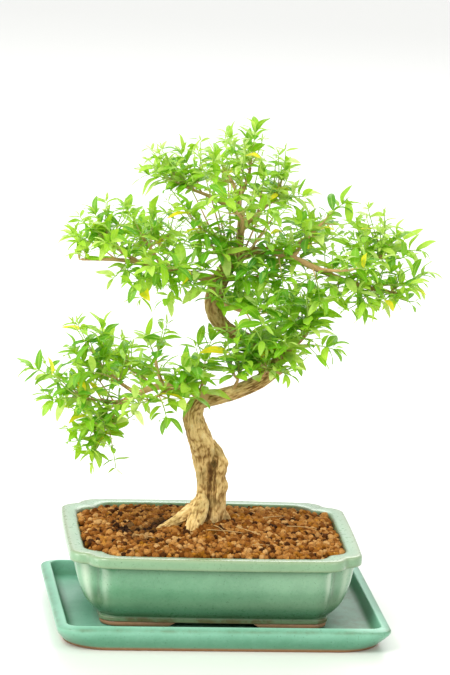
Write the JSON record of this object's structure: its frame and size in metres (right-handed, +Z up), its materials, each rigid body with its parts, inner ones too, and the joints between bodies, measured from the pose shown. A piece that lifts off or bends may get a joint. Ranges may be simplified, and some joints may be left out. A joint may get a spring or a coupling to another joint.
{
  "type": "potted bonsai tree",
  "caption": "Serissa bonsai with an S-curved trunk and tiers of small pointed leaves, in a notched-corner glazed pot on a matching drip tray.",
  "frame": {"origin": "on the table, 5 mm behind the middle of the drip tray's underside", "axes": "+Z up, front of the pot towards -Y, long side of the tray along X"},
  "size_m": [0.3054, 0.2015, 0.3684],
  "materials": {
    "tray_glaze": "gloss",
    "pot_glaze": "gloss",
    "clay_grit": "matte",
    "bark": "matte",
    "leaf": "satin"
  },
  "bodies": {
    "root": {"tray": "tray_glaze", "pot": "pot_glaze", "soil": "clay_grit", "trunk": "bark", "shoot_low_left_01": "leaf", "shoot_low_left_02": "leaf", "shoot_low_left_03": "leaf", "shoot_low_left_04": "leaf", "shoot_low_left_05": "leaf", "shoot_low_left_06": "leaf", "shoot_low_left_07": "leaf", "shoot_low_left_08": "leaf", "shoot_low_left_09": "leaf", "shoot_low_left_10": "leaf", "shoot_low_left_11": "leaf", "shoot_low_left_12": "leaf", "shoot_high_left_01": "leaf", "shoot_high_left_02": "leaf", "shoot_high_left_03": "leaf", "shoot_high_left_04": "leaf", "shoot_high_left_05": "leaf", "shoot_high_left_06": "leaf", "shoot_high_left_07": "leaf", "shoot_high_left_08": "leaf", "shoot_high_left_09": "leaf", "shoot_right_01": "leaf", "shoot_right_02": "leaf", "shoot_right_03": "leaf", "shoot_right_04": "leaf", "shoot_right_05": "leaf", "shoot_right_06": "leaf", "shoot_right_07": "leaf", "shoot_right_08": "leaf", "shoot_right_09": "leaf", "shoot_right_10": "leaf", "shoot_right_11": "leaf", "shoot_right_12": "leaf", "shoot_crown_01": "leaf", "shoot_crown_02": "leaf", "shoot_crown_03": "leaf", "shoot_crown_04": "leaf", "shoot_crown_05": "leaf", "shoot_crown_06": "leaf", "shoot_crown_07": "leaf", "shoot_crown_08": "leaf", "shoot_crown_09": "leaf", "shoot_crown_10": "leaf", "shoot_crown_11": "leaf", "shoot_crown_12": "leaf", "shoot_middle_01": "leaf", "shoot_middle_02": "leaf", "shoot_middle_03": "leaf", "shoot_middle_04": "leaf", "shoot_middle_05": "leaf", "shoot_middle_06": "leaf", "shoot_middle_07": "leaf", "shoot_middle_08": "leaf", "shoot_middle_09": "leaf", "shoot_middle_10": "leaf"}
  },
  "joints": []
}
